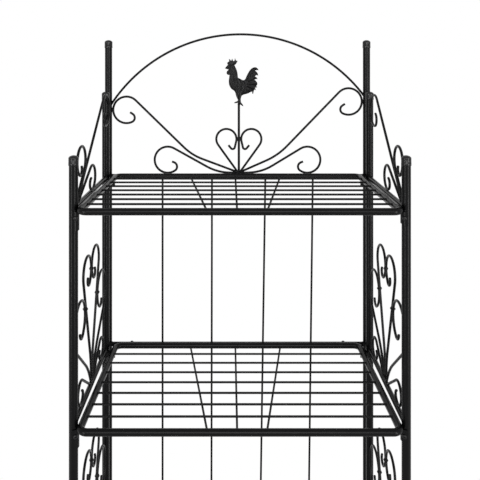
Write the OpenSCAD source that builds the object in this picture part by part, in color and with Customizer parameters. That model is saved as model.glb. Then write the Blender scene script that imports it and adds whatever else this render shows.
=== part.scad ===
// Plant stand: four wire shelves held between two scrollwork side frames, with a tall
// scrollwork back panel, an arch and a rooster figure on top.
// Millimetres. Origin on the floor, in the middle of the footprint. The front looks to -Y.

/* [Posts] */
// diameter of the six round tube posts
post_d = 16; // [15:0.5:17]
// wall of the post tubes
post_wall = 1; // [0.8:0.1:2]
// from the axis of a left post to the axis of the right one
frame_w = 584; // [575:1:595]
// from the front posts back to the rear posts of the side frames
side_depth = 275; // [270:1:282]
// top of the front post caps above the top shelf tube axis
front_top = 94; // [60:1:140]
// top of the rear side post caps above the top shelf tube axis
rear_top = 191; // [180:1:230]
// top of the back panel post caps above the top shelf tube axis
panel_top = 306; // [260:1:330]
// height of the plastic feet and of the post caps
cap_h = 18; // [14:1:24]
// outside diameter of the post caps
cap_d = 17.8; // [17.4:0.1:18.4]
// outside diameter of the feet
foot_d = 19; // [18:0.5:22]
// closed floor of a foot
foot_floor = 3; // [2:0.5:5]

/* [Shelves] */
// axis of the lowest shelf tube above the floor
low_shelf = 110; // [80:1:150]
// from one shelf to the next
shelf_pitch = 380; // [350:1:420]
// diameter of the tube round each shelf
shelf_tube_d = 12.7; // [12:0.1:13.5]
// front bar axis ahead of the front post axes
front_bar = 20; // [18:1:26]
// back bar axis behind the rear posts of the side frames
back_bar = 19; // [18:1:35]
// wall of the shelf tubes
tube_wall = 1.2; // [1:0.1:2]
// bend radius of the shelf corners, to the tube axis
shelf_bend = 14; // [10:1:24]
// how far a side bar comes inward from the front posts to the back bar
shelf_taper = 5; // [1:0.5:8]
// number of long wires in a shelf
wire_rows = 7; // [5:1:9]
// from the front bar axis to the first long wire
first_wire = 40.5; // [20:0.5:50]
// from the last long wire to the back bar axis
last_wire = 45.5; // [20:0.5:50]
// diameter of the shelf wires
shelf_wire_d = 4; // [3:0.1:4.4]
// long wire axes above the shelf tube axis
wire_lift = 3.3; // [2.4:0.1:3.6]
// sideways place of the middle cross wire
cross_mid_x = -5; // [-20:1:20]
// slanting cross wires from the middle one, at the front bar
cross_front = 51; // [30:1:80]
// slanting cross wires from the middle one, at the back bar
cross_back = 101; // [70:1:130]

/* [Shelf brackets] */
// plate of the half round saddles that hold the shelves on the posts
saddle_t = 2; // [1.5:0.1:2.5]
// lower edge of the left front saddles under the shelf tube axis
saddle_left = 37; // [26:1:40]
// lower edge of the other saddles under the shelf tube axis
saddle_right = 25; // [22:1:40]
// bracket screw axes under the shelf tube axis
screw_drop = 14.5; // [13:0.5:17]
// direction of a bracket screw, turned inward from straight ahead
screw_turn = 33; // [25:1:45]
// diameter of the bracket screw heads
screw_head_d = 8; // [7:0.5:9]
// diameter of the screw shanks
screw_d = 4; // [3.5:0.1:4.5]

/* [Rails and bars] */
// diameter of the side rails
rail_d = 10; // [9:0.5:11]
// wall of the side rails and of the crossbars
rail_wall = 1; // [0.8:0.1:2]
// diameter of the crossbars of the back panel
bar_d = 10; // [9:0.5:12]
// crossbar axes under the shelf tube axes
bar_drop = 2; // [0:0.5:3]
// diameter of the four upright wires of the back panel
back_wire_d = 4.5; // [3.5:0.1:5.5]
// sideways places of the four back panel wires at the top crossbar
back_wire_top = [-170.5, -58, 63.5, 171.5]; // [-200:0.5:200]
// sideways places of the four back panel wires at the lowest crossbar
back_wire_low = [-170.5, -60, 46.5, 157.5]; // [-200:0.5:200]
// panel screws from the middle of the stand
panel_screw_x = 240; // [200:1:250]

/* [Scrolls] */
// diameter of the scroll wires
scroll_d = 5; // [4.4:0.1:5]
// loop centre of the tall side scrolls above the rail
tall_h = 230.5; // [220:0.5:240]
// loop radius of the tall side scrolls
tall_r = 32; // [28:0.5:34]
// loop centre of the front middle side scrolls above the rail
mid_h = 160; // [150:1:165]
// loop centre of the rear middle side scrolls above the rail
mid_rear_h = 155; // [148:1:165]
// loop radius of the middle side scrolls
mid_r = 37; // [32:0.5:38]
// straight of the middle side scrolls along the post
mid_rise = 19; // [8:1:30]
// loop radius of the low side scrolls
low_r = 21; // [17:0.5:23]
// loop centre of the low side scrolls from the middle of the side
low_x = 86; // [80:1:90]
// loop centre of the sloping top wire above the top rail
hook_h = 153; // [135:1:155]
// loop radius of the sloping top wire
hook_r = 33; // [28:0.5:36]
// loop radius of the upper top scroll
upper_r = 27; // [22:0.5:30]
// loop centre of the upper top scroll up along the sloping wire from its foot
upper_along = 67; // [64:0.5:90]
// loop centre of the lower top scroll behind the front post
under_x = 125; // [120:1:140]
// loop radius of the lower top scroll
under_r = 23.5; // [20:0.5:26]
// how far the left top scrolls lean inward, in degrees
left_lean = 1.9; // [0:0.1:2]

/* [Back panel] */
// radius of the arch
arch_r = 350; // [345:1:360]
// sideways place of the arch centre
arch_x = 7; // [0:1:12]
// arch centre under the top shelf tube axis
arch_down = 31; // [20:1:34]
// sideways place of the rooster stem
stem_x = 3; // [0:1:6]
// diameter of the rooster stem
stem_d = 5.5; // [5:0.1:6]
// height of the rooster feet above the top shelf tube axis
rooster_z = 160; // [150:1:180]
// height of the rooster figure from its toes to its comb
rooster_h = 109; // [90:1:120]
// thickness of the rooster figure
rooster_t = 5; // [3:0.5:6]
// loop radius of the large back scrolls
big_r = 30; // [26:0.5:30]
// loop centre of the right large back scroll above the top shelf
big_right_h = 167; // [155:1:167]
// loop centre of the left large back scroll above the top shelf
big_left_h = 148; // [140:1:149]
// loop radius of the small back scrolls
small_r = 29.5; // [26:0.5:31]
// loop centre of the right small back scroll from the stem
small_right_x = 155; // [148:1:160]
// loop centre of the left small back scroll from the stem
small_left_x = 161; // [154:1:166]
// loop centre of the heart scrolls above the top shelf
heart_h = 82; // [70:1:90]
// loop radius of the heart scrolls
heart_r = 22.8; // [20:0.1:26]

/* [Hidden] */
round_fn = 36;
bend_fn = 72;
gap = 0.15;
post_r = post_d / 2;
tube_r = shelf_tube_d / 2;
half_w = frame_w / 2;
top_level = low_shelf + 3 * shelf_pitch;
back_y = side_depth + back_bar;
panel_y = back_y + tube_r + bar_d / 2 + gap;
back_wire_y = panel_y + bar_d / 2 + back_wire_d / 2 + 0.1;
y_front = -front_bar - tube_r;
y_back = max(back_wire_y + back_wire_d / 2, panel_y + foot_d / 2);
y_mid = (y_front + y_back) / 2;
side_x = half_w - post_r - tube_r - gap;
taper = round(atan(shelf_taper / back_y) * 100) / 100;
saddle_r = post_r + 0.1;
mid_x = side_depth / 2 - post_r - gap - scroll_d / 2 - mid_r;
tall_x = tall_r + scroll_d / 2 + 0.1;
slope_foot = [22, 6.3];
bar_top = bar_d / 2 - bar_drop;
black = [0.09, 0.09, 0.095];
plastic = [0.06, 0.06, 0.065];

// Height of a shelf, counted from 1 at the bottom.
function level(i) = low_shelf + (i - 1) * shelf_pitch;

// An angle to the nearest hundredth of a degree.
function hundredth(a) = round(a * 100) / 100;

// Sideways place of a shelf side bar at a depth behind the front posts.
function bar_x(y) = side_x - y * tan(taper);

// Unit vector across a heading, to its left.
function across(h) = [-sin(h), cos(h)];

// Heading of the straight wire that leaves the bend round a and meets the loop round b.
function line_heading(a, ra, b, rb) =
    atan2(b[1] - a[1], b[0] - a[0]) + asin((ra + rb) / norm(b - a));

// Section of a round wire, or of a tube when it has a bore.
module section(d, bore) {
    difference() {
        circle(d = d, $fn = round_fn);
        if (bore > 0)
            circle(d = bore, $fn = round_fn);
    }
}

// Straight wire or tube along +X.
module rod(d, bore, from, to) {
    translate([from, 0, 0])
        rotate([0, 90, 0])
            linear_extrude(height = to - from)
                section(d, bore);
}

// Straight round wire or tube in the XY plane.
module straight(a, b, d, bore = 0) {
    v = b - a;
    translate([a[0], a[1], 0])
        rotate([0, 0, atan2(v[1], v[0])])
            rod(d, bore, 0, norm(v));
}

// Round wire or tube that starts at the origin and heads along +X. A step [length] is straight
// and a step [radius, turn] is a bend; turn is positive to the left, negative to the right.
// A low collar over each change joins the two pieces, which stop just short of each other.
module wire(steps, d, bore = 0, i = 0) {
    if (i < len(steps)) {
        s = steps[i];
        skip = i == 0 ? 0 : 0.1;
        if (i > 0)
            rod(d + 0.2, bore > 0 ? bore + 0.2 : 0, -0.5, 0.5);
        if (len(s) == 1) {
            rod(d, bore, skip, s[0]);
            translate([s[0], 0, 0])
                wire(steps, d, bore, i + 1);
        } else {
            first = hundredth(skip / s[0] * 180 / PI);
            mirror([0, s[1] < 0 ? 1 : 0, 0]) {
                translate([0, s[0], 0])
                    rotate([0, 0, first - 90])
                        rotate_extrude(angle = abs(s[1]) - first, $fn = s[0] > 100 ? 180 : bend_fn)
                            translate([s[0], 0, 0])
                                section(d, bore);
                translate([0, s[0], 0])
                    rotate([0, 0, abs(s[1])])
                        translate([0, -s[0], 0])
                            mirror([0, s[1] < 0 ? 1 : 0, 0])
                                wire(steps, d, bore, i + 1);
            }
        }
    }
}

// Scroll wire: a straight foot, a knee that bends left, a straight line, a loop that turns
// right until it heads the angle past under level, and a tighter curl that goes on turning.
// rise is a straight up the outer side of the loop, drop one before the curl, tip one after it.
module scroll(foot, heading, run, knee, loop, r, past, curl_r, curl, rise = 0, drop = 0, tip = 0) {
    a = foot + run * [cos(heading), sin(heading)] + knee * across(heading);
    phi = hundredth(line_heading(a, knee, loop, r));
    reach = norm(loop - a);
    line = sqrt(reach * reach - (knee + r) * (knee + r));
    turns = rise > 0 ? [[r, 90 - phi], [rise], [r, -90 - past]] : [[r, -phi - past]];
    tail = concat([[line]], turns, drop > 0 ? [[drop]] : [], [[curl_r, -curl]],
        tip > 0 ? [[tip]] : []);
    translate([foot[0], foot[1], 0])
        rotate([0, 0, knee > 0 ? heading : phi])
            wire(knee > 0 ? concat([[run], [knee, phi - heading]], tail) : tail, scroll_d);
}

// Everything is drawn from the front post axes, then moved to the middle of the footprint.
module place() {
    translate([0, -y_mid, 0])
        children();
}

// Drawing plane of a side frame: x runs back, y runs up. s is -1 for left and 1 for right.
module side_plane(s, y, z) {
    translate([s * half_w, y, z])
        rotate([90, 0, 90])
            children();
}

// Drawing plane of the back panel: x runs away from the stem to side s, y runs up.
module back_plane(s) {
    translate([stem_x, panel_y, top_level])
        rotate([90, 0, 0])
            mirror([s < 0 ? 1 : 0, 0, 0])
                children();
}

// Inward and forward of a post: x points inward, -y to the front.
module at_post(s, y, z) {
    translate([s * half_w, y, z])
        mirror([s > 0 ? 1 : 0, 0, 0])
            children();
}

// A bracket screw axis as a cylinder that starts at a distance from the post axis.
module screw_line(from, to, d) {
    translate([0, 0, -screw_drop])
        rotate([0, 0, screw_turn - 90])
            translate([from, 0, 0])
                rotate([0, 90, 0])
                    cylinder(d = d, h = to - from, $fn = round_fn);
}

// Tube post with screw holes at every shelf when it carries brackets.
module post(s, y, top, holes) {
    difference() {
        translate([s * half_w, y, foot_floor])
            cylinder(r = post_r, h = top_level + top - 5.5 - foot_floor, $fn = round_fn);
        translate([s * half_w, y, 0])
            cylinder(r = post_r - post_wall, h = 2 * top_level, $fn = round_fn);
        if (holes)
            for (i = [1 : 4])
                at_post(s, y, level(i)) screw_line(post_r - post_wall - 1, post_r + 1, screw_d + 0.2);
    }
}

// Domed plastic cap with its top at z = 0.
module cap() {
    dome_r = cap_d * 0.62;
    difference() {
        union() {
            translate([0, 0, -cap_h])
                cylinder(d = cap_d, h = cap_h - 10, $fn = round_fn);
            intersection() {
                translate([0, 0, -10])
                    cylinder(d = cap_d, h = 10, $fn = round_fn);
                translate([0, 0, -dome_r])
                    sphere(r = dome_r, $fn = bend_fn);
            }
        }
        translate([0, 0, -cap_h - 1])
            cylinder(r = post_r + 0.03, h = cap_h + 1 - 5.5, $fn = round_fn);
    }
}

// Plastic foot: a cup that the post stands in.
module foot() {
    difference() {
        union() {
            cylinder(d1 = foot_d - 2, d2 = foot_d, h = 1, $fn = round_fn);
            translate([0, 0, 1])
                cylinder(d = foot_d, h = cap_h - 1, $fn = round_fn);
        }
        translate([0, 0, foot_floor])
            cylinder(r = post_r + 0.03, h = cap_h, $fn = round_fn);
    }
}

// Tube round a shelf, in the XY plane, with a butt seam in the middle of the back bar.
module shelf_loop(bore = 0) {
    back_cut = shelf_bend * tan(45 - taper / 2);
    front_cut = shelf_bend * tan(45 + taper / 2);
    half_back = bar_x(back_y) - back_cut - 0.05;
    side_l = (back_y + front_bar) / cos(taper) - back_cut - front_cut;
    front_l = 2 * (bar_x(-front_bar) - front_cut);
    translate([-0.05, back_y, 0])
        mirror([1, 0, 0])
            wire([[half_back], [shelf_bend, taper - 90], [side_l], [shelf_bend, -90 - taper], [front_l],
                [shelf_bend, -90 - taper], [side_l], [shelf_bend, taper - 90], [half_back]], shelf_tube_d,
                bore);
}

// Long wires of a shelf, cut to the side bars.
module shelf_wires() {
    step = (back_y + front_bar - first_wire - last_wire) / (wire_rows - 1);
    difference() {
        for (k = [0 : wire_rows - 1]) {
            y = first_wire + k * step - front_bar;
            end = bar_x(y) - tube_r * 0.5;
            translate([0, 0, wire_lift])
                straight([-end, y], [end, y], shelf_wire_d);
        }
        for (s = [-1, 1])
            straight([s * bar_x(-front_bar), -front_bar], [s * bar_x(back_y), back_y], shelf_tube_d);
    }
}

// Three wires under the long ones, from the front bar to the back bar.
module shelf_cross_wires() {
    difference() {
        translate([0, 0, wire_lift - shelf_wire_d - 0.1])
            for (s = [-1, 0, 1])
                straight([cross_mid_x + s * cross_front, -front_bar],
                    [cross_mid_x + s * cross_back, back_y], shelf_wire_d);
        for (y = [-front_bar, back_y])
            straight([-bar_x(0), y], [bar_x(0), y], shelf_tube_d);
    }
}

// Half round saddle on a post, with a screw hole, and a web to the side bar when it is apart.
module saddle(drop, web) {
    difference() {
        union() {
            rotate([0, 0, -90])
                rotate_extrude(angle = 180, $fn = bend_fn)
                    translate([saddle_r, -drop])
                        square([saddle_t, drop - tube_r * 0.5]);
            if (web > 0)
                translate([saddle_r + saddle_t * 0.7, -1.5, -drop * 0.7])
                    cube([web, 3, drop * 0.7 - tube_r * 0.5]);
        }
        screw_line(saddle_r - 1, saddle_r + saddle_t + 1, screw_d + 0.2);
    }
}

// The four saddles of a shelf, cut to the shelf tube.
module shelf_saddles() {
    difference() {
        union() {
            at_post(-1, 0, 0) saddle(saddle_left, 0);
            at_post(1, 0, 0) saddle(saddle_right, 0);
            for (s = [-1, 1])
                at_post(s, side_depth, 0) saddle(saddle_right, half_w - bar_x(side_depth) - saddle_r);
        }
        shelf_loop();
    }
}

// Pan head screw through a saddle into the post.
module bracket_screw() {
    out = saddle_r + saddle_t;
    difference() {
        screw_line(out - 1.5, out + 2.6, screw_head_d);
        cylinder(r = out, h = 80, center = true, $fn = bend_fn);
    }
    screw_line(post_r - post_wall - 4, out, screw_d);
}

// Screw from behind through a crossbar into the shelf tube.
module panel_screw(s, z) {
    zs = z - bar_drop / 2;
    back = panel_y + bar_d / 2;
    translate([s * panel_screw_x, back, zs])
        rotate([90, 0, 0])
            cylinder(d = screw_d, h = back - back_y - 2, $fn = round_fn);
    difference() {
        translate([s * panel_screw_x, back + 2.4, zs])
            rotate([90, 0, 0])
                cylinder(d = screw_head_d, h = 4, $fn = round_fn);
        crossbar(z);
    }
}

// Clearance hole for a panel screw.
module panel_hole(s, z) {
    translate([s * panel_screw_x, panel_y + bar_d, z - bar_drop / 2])
        rotate([90, 0, 0])
            cylinder(d = screw_d + 0.2, h = panel_y + bar_d - back_y, $fn = round_fn);
}

// Crossbar of the back panel between the panel posts.
module crossbar(z, bore = 0) {
    translate([0, panel_y, z - bar_drop])
        rod(bar_d, bore, -half_w, half_w);
}

// Side rails between the front and rear posts of a side frame.
module side_rails(s) {
    difference() {
        for (i = [1 : 4])
            side_plane(s, 0, level(i))
                straight([0, 0], [side_depth, 0], rail_d, rail_d - 2 * rail_wall);
        for (y = [0, side_depth])
            translate([s * half_w, y, 0])
                cylinder(r = post_r, h = top_level + 20, $fn = round_fn);
    }
}

// Front half of the scrolls of one side bay; x runs from the middle of the side.
module side_half(middle_h) {
    scroll([-3.1, 2], 91, 13, 180, [-tall_x, tall_h], tall_r, 145, 10, 170);
    scroll([-5.5, 4.5], 118, 8, 160, [-mid_x, middle_h - mid_rise], mid_r, 155, 12, 120,
        rise = mid_rise);
    mirror([1, 0, 0])
        scroll([15.2, 6.3], 0, 0, 0, [low_x, rail_d / 2 + scroll_d / 2 + 0.1 + low_r], low_r, 215, 9, 130);
}

// All six scrolls of a side bay, cut to the rail that they stand on.
module side_scrolls(s, i) {
    difference() {
        side_plane(s, side_depth / 2, level(i)) {
            side_half(mid_h);
            mirror([1, 0, 0]) side_half(mid_rear_h);
        }
        side_plane(s, 0, level(i))
            straight([0, 0], [side_depth, 0], rail_d);
    }
}

// Scroll wires above the top rail of a side frame. They lean inward by lean degrees.
module top_wire(s, which, lean) {
    aside = side_depth * sin(lean);
    hook_x = side_depth - sqrt(pow(post_r + gap + scroll_d / 2, 2) - aside * aside) - hook_r;
    slope = line_heading(slope_foot, 0, [hook_x, hook_h], hook_r);
    upper = slope_foot + upper_along * [cos(slope), sin(slope)]
        + (upper_r + scroll_d + 0.7) * across(slope);
    difference() {
        side_plane(s, 0, top_level)
            rotate([0, s * lean, 0]) {
                if (which == "slope")
                    scroll(slope_foot, 0, 0, 0, [hook_x, hook_h], hook_r, 195, 13.5, 150);
                if (which == "upper")
                    mirror([1, 0, 0])
                        scroll([-14, 6], 0, 0, 0, [-upper[0], upper[1]], upper_r, 155, 10, 150);
                if (which == "lower")
                    scroll([31.5, 6.5], 0, 0, 0, [under_x, rail_d / 2 + scroll_d / 2 + 0.1 + under_r],
                        under_r, 205, 11, 150);
            }
        side_plane(s, 0, top_level)
            straight([0, 0], [side_depth, 0], rail_d);
    }
}

// Large scroll of the back panel, cut to the stem; it reaches out to the panel post.
module big_scroll(s, h, heading, run, knee) {
    reach = half_w - post_r - gap - scroll_d / 2 - big_r - s * stem_x;
    difference() {
        back_plane(s)
            scroll([0.4, 6.2], heading, run, knee, [reach, h], big_r, 205, 10.3, 122, tip = 7);
        stem_line();
    }
}

// Small scroll of the back panel, lying on the top crossbar.
module small_scroll(s, x) {
    lie = bar_top + scroll_d / 2 + 0.2;
    back_plane(s)
        scroll([11.5, lie], 2, 12, 108, [x, lie + small_r], small_r, 214, 10.5, 126, tip = 5);
}

// Heart shaped pair beside the stem.
module heart_scroll(s) {
    x = stem_d / 2 + gap + scroll_d / 2 + heart_r;
    back_plane(-s)
        scroll([-9.8, 17.3], 0, 0, 0, [-x, heart_h], heart_r, 103, 5, 128, drop = 14, tip = 9);
}

// Stem of the rooster, down into the top crossbar.
module stem_line() {
    translate([stem_x, panel_y, top_level - bar_drop])
        cylinder(d = stem_d, h = rooster_z + bar_drop, $fn = round_fn);
}

// Arch wire between the panel posts.
module arch_wire() {
    right = acos((half_w - arch_x) / arch_r);
    left = 180 - acos((half_w + arch_x) / arch_r);
    difference() {
        translate([arch_x, panel_y, top_level - arch_down])
            rotate([90, -right, 0])
                rotate_extrude(angle = left - right, $fn = 240)
                    translate([arch_r, 0, 0])
                        circle(d = scroll_d, $fn = round_fn);
        for (s = [-1, 1])
            translate([s * half_w, panel_y, 0])
                cylinder(r = post_r, h = 2 * top_level, $fn = round_fn);
    }
}

// Outline of the rooster from its feet: x, height, and 1 where the outline has a corner.
outline = [[-2.8, 0, 1], [-2.5, 4, 1], [-6, 3.2, 0], [-10.2, 3.2, 1], [-9.6, 5, 0], [-2.8, 8, 1],
    [-2.4, 11, 0], [-5, 16, 0], [-6.8, 22, 0], [-8.2, 27, 0], [-11, 31, 0], [-16, 34.5, 0],
    [-20, 40, 0], [-22, 46.5, 0], [-22.2, 54, 0], [-21.2, 61.5, 0], [-20.6, 65.5, 1],
    [-24.2, 66, 0], [-26.7, 68, 0], [-27.2, 71, 0], [-25.8, 74.3, 0], [-23.2, 76.6, 0],
    [-23.8, 78, 1], [-27.4, 78.8, 0], [-31, 80.4, 1], [-28.5, 83.3, 0], [-25, 87.5, 1],
    [-24.7, 89.5, 0], [-26.5, 91.7, 1], [-23.8, 94.4, 0], [-21.5, 96, 0], [-22, 101, 1],
    [-19.2, 99.6, 0], [-17.2, 96.4, 1], [-14.7, 102, 1], [-12.7, 96.4, 1], [-10, 96.7, 1],
    [-8.2, 103, 1], [-6.6, 97.6, 1], [-2.7, 96.7, 1], [-5.2, 91.5, 0], [-9.6, 86.7, 1],
    [-6.8, 81.5, 0], [-4.3, 75, 0], [-2.7, 67.5, 0], [-2, 59.5, 1], [2.5, 57.3, 0],
    [6.8, 54.9, 0], [10, 54.1, 0], [13.1, 55.2, 0], [15.4, 58.9, 0], [17.4, 63.8, 0],
    [20.4, 69.7, 0], [24, 75.4, 0], [28.3, 79.9, 0], [33.3, 82.4, 0], [37.6, 82.4, 0],
    [41.4, 80.1, 0], [43.9, 76, 1], [39.4, 76.2, 0], [35.8, 75.4, 1], [39.4, 72.2, 0],
    [41.9, 68.6, 0], [42.8, 63.8, 1], [39.2, 65.4, 0], [35.5, 62.3, 1], [39.6, 60, 0],
    [41.4, 55.7, 1], [38.3, 56.6, 0], [35.1, 55.2, 1], [38.7, 51.4, 0], [41, 47.5, 0],
    [40.5, 43.7, 0], [38.6, 41.4, 1], [40.8, 37.4, 1], [37.6, 38, 0], [36.2, 36.2, 1],
    [38.3, 31.5, 1], [34.9, 33.5, 1], [33.1, 29.9, 0], [31.7, 23.8, 1], [29.9, 23.8, 1],
    [29.4, 28.8, 1], [25, 27.2, 0], [20, 24.6, 0], [13.8, 22.9, 0], [8.8, 21.3, 0],
    [6, 18.6, 0], [4.6, 14.5, 0], [4.3, 9.5, 0], [5.2, 4.5, 0], [8.2, 0.7, 0],
    [10.2, -3.6, 1], [7.7, -2.9, 0], [4.5, -0.7, 0], [2.8, 0, 1]];

// Point t of the way along a smooth curve through the outline, from its point i.
function along(i, t) =
    let (n = len(outline),
        a = [outline[i][0], outline[i][1]],
        b = [outline[(i + 1) % n][0], outline[(i + 1) % n][1]],
        before = [outline[(i + n - 1) % n][0], outline[(i + n - 1) % n][1]],
        after = [outline[(i + 2) % n][0], outline[(i + 2) % n][1]],
        leave = outline[i][2] == 1 ? b - a : (b - before) / 2,
        reach = outline[(i + 1) % n][2] == 1 ? b - a : (after - a) / 2)
    a + t * t * (3 - 2 * t) * (b - a) + t * (1 - t) * (1 - t) * leave - t * t * (1 - t) * reach;

// Steps between two points: none between two corners, so that edge stays straight.
function steps(i) = outline[i][2] == 1 && outline[(i + 1) % len(outline)][2] == 1 ? 1 : 3;

module left_front_post() { color(black) place() post(-1, 0, front_top, true); }
module right_front_post() { color(black) place() post(1, 0, front_top, true); }
module left_rear_post() { color(black) place() post(-1, side_depth, rear_top, true); }
module right_rear_post() { color(black) place() post(1, side_depth, rear_top, true); }
module left_panel_post() { color(black) place() post(-1, panel_y, panel_top, false); }
module right_panel_post() { color(black) place() post(1, panel_y, panel_top, false); }

module post_caps() {
    color(plastic) place()
        for (s = [-1, 1]) {
            translate([s * half_w, 0, top_level + front_top]) cap();
            translate([s * half_w, side_depth, top_level + rear_top]) cap();
            translate([s * half_w, panel_y, top_level + panel_top]) cap();
        }
}

module feet() {
    color(plastic) place()
        for (s = [-1, 1], y = [0, side_depth, panel_y])
            translate([s * half_w, y, 0]) foot();
}

module left_side_rails() { color(black) place() side_rails(-1); }
module right_side_rails() { color(black) place() side_rails(1); }

module shelf_frame(i) {
    color(black) place()
        difference() {
            translate([0, 0, level(i)]) shelf_loop(shelf_tube_d - 2 * tube_wall);
            for (s = [-1, 1]) panel_hole(s, level(i));
        }
}

module wires(i) { color(black) place() translate([0, 0, level(i)]) shelf_wires(); }
module cross_wires(i) { color(black) place() translate([0, 0, level(i)]) shelf_cross_wires(); }
module brackets(i) { color(black) place() translate([0, 0, level(i)]) shelf_saddles(); }

module shelf_screws() {
    color(black) place()
        for (i = [1 : 4], s = [-1, 1], y = [0, side_depth])
            at_post(s, y, level(i)) bracket_screw();
}

module panel_crossbars() {
    color(black) place()
        difference() {
            for (i = [1 : 4]) crossbar(level(i), bar_d - 2 * rail_wall);
            for (s = [-1, 1])
                translate([s * half_w, panel_y, 0])
                    cylinder(r = post_r, h = top_level + 20, $fn = round_fn);
            for (i = [1 : 4], s = [-1, 1]) panel_hole(s, level(i));
        }
}

// Upright wires behind the crossbars: place at the top and at the bottom crossbar.
module back_wires() {
    color(black) place()
        for (k = [0 : 3])
            translate([0, back_wire_y, 0])
                rotate([90, 0, 0])
                    straight([back_wire_low[k], level(1) - bar_drop - 4],
                        [back_wire_top[k], top_level - bar_drop + 3], back_wire_d);
}

module panel_screws() {
    color(black) place()
        for (i = [1 : 4], s = [-1, 1]) panel_screw(s, level(i));
}

module arch() { color(black) place() arch_wire(); }
module left_big_scroll() { color(black) place() big_scroll(-1, big_left_h, 20.5, 88, 120); }
module right_big_scroll() { color(black) place() big_scroll(1, big_right_h, 23.8, 67, 150); }
module left_small_scroll() { color(black) place() small_scroll(-1, small_left_x); }
module right_small_scroll() { color(black) place() small_scroll(1, small_right_x); }
module left_heart_scroll() { color(black) place() heart_scroll(-1); }
module right_heart_scroll() { color(black) place() heart_scroll(1); }

module rooster_stem() {
    color(black) place()
        difference() {
            stem_line();
            crossbar(top_level);
        }
}

module rooster() {
    heights = [for (p = outline) p[1]];
    grow = rooster_h / (max(heights) - min(heights));
    color(black) place()
        translate([stem_x, panel_y + rooster_t / 2, top_level + rooster_z])
            rotate([90, 0, 0])
                linear_extrude(height = rooster_t)
                    polygon([for (i = [0 : len(outline) - 1], j = [0 : steps(i) - 1])
                        grow * along(i, j / steps(i))]);
}

module bay_scrolls(s, i) { color(black) place() side_scrolls(s, i); }
module top_scroll(s, which) { color(black) place() top_wire(s, which, s < 0 ? left_lean : 0); }

left_front_post();
right_front_post();
left_rear_post();
right_rear_post();
left_panel_post();
right_panel_post();
post_caps();
feet();
left_side_rails();
right_side_rails();
shelf_frame(1);  // shelf_frame_1
shelf_frame(2);  // shelf_frame_2
shelf_frame(3);  // shelf_frame_3
shelf_frame(4);  // shelf_frame_4
wires(1);  // shelf_wires_1
wires(2);  // shelf_wires_2
wires(3);  // shelf_wires_3
wires(4);  // shelf_wires_4
cross_wires(1);  // shelf_cross_wires_1
cross_wires(2);  // shelf_cross_wires_2
cross_wires(3);  // shelf_cross_wires_3
cross_wires(4);  // shelf_cross_wires_4
brackets(1);  // shelf_brackets_1
brackets(2);  // shelf_brackets_2
brackets(3);  // shelf_brackets_3
brackets(4);  // shelf_brackets_4
shelf_screws();
panel_crossbars();
back_wires();
panel_screws();
arch();
left_big_scroll();
right_big_scroll();
left_small_scroll();
right_small_scroll();
left_heart_scroll();
right_heart_scroll();
rooster_stem();
rooster();
bay_scrolls(-1, 1);  // left_side_scrolls_1
bay_scrolls(-1, 2);  // left_side_scrolls_2
bay_scrolls(-1, 3);  // left_side_scrolls_3
bay_scrolls(1, 1);  // right_side_scrolls_1
bay_scrolls(1, 2);  // right_side_scrolls_2
bay_scrolls(1, 3);  // right_side_scrolls_3
top_scroll(-1, "slope");  // left_top_slope
top_scroll(1, "slope");  // right_top_slope
top_scroll(-1, "upper");  // left_top_upper
top_scroll(1, "upper");  // right_top_upper
top_scroll(-1, "lower");  // left_top_lower
top_scroll(1, "lower");  // right_top_lower
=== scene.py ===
"""Visual model of a wire plant stand with scrollwork sides, an arched back and a rooster.

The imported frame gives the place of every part. Lengths are millimetres, and angles given as
numbers are degrees, unless a comment says otherwise. Points go to metres where a mesh is made.
The front of the stand looks to -Y, and s is -1 for the left side and 1 for the right one.
"""

import math
from itertools import product
from typing import NamedTuple

import bmesh
import bpy
import numpy as np
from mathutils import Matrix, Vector
from mathutils.geometry import delaunay_2d_cdt


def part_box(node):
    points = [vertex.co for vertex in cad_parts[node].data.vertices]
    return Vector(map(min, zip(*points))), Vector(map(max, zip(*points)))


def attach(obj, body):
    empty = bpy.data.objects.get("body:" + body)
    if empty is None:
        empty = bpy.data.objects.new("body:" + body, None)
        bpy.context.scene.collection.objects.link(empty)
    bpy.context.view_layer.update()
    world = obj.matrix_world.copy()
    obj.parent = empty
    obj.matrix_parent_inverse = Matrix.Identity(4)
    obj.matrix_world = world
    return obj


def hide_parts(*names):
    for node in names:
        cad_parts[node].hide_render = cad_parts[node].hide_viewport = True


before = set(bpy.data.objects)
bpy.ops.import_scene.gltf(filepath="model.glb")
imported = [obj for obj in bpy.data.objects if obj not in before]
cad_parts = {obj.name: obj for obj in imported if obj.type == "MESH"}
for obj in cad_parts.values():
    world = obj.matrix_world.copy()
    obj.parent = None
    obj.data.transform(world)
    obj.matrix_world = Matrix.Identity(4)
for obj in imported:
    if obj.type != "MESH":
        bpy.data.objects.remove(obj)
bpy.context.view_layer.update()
MM = 0.001


def centre(node):
    """Middle of a part's box in millimetres."""
    low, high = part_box(node)
    return (low + high) / 2 / MM


# Places read from the frame
POST_X = centre("right_front_post").x
FRONT_Y = centre("right_front_post").y
REAR_Y = centre("right_rear_post").y
PANEL_Y = centre("right_panel_post").y
MID_Y = (FRONT_Y + REAR_Y) / 2
SIDE_DEPTH = REAR_Y - FRONT_Y
STEM_X = centre("rooster_stem").x
STEM_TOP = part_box("rooster_stem")[1].z / MM
LEVELS = [centre(f"shelf_frame_{i}").z for i in (1, 2, 3, 4)]
TOP = LEVELS[3]

# Sides of the stand and directions in it
SIDES = {-1: "left", 1: "right"}
SIDEWAYS = (1, 0, 0)
BACKWARD = (0, 1, 0)
UPWARD = (0, 0, 1)

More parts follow.
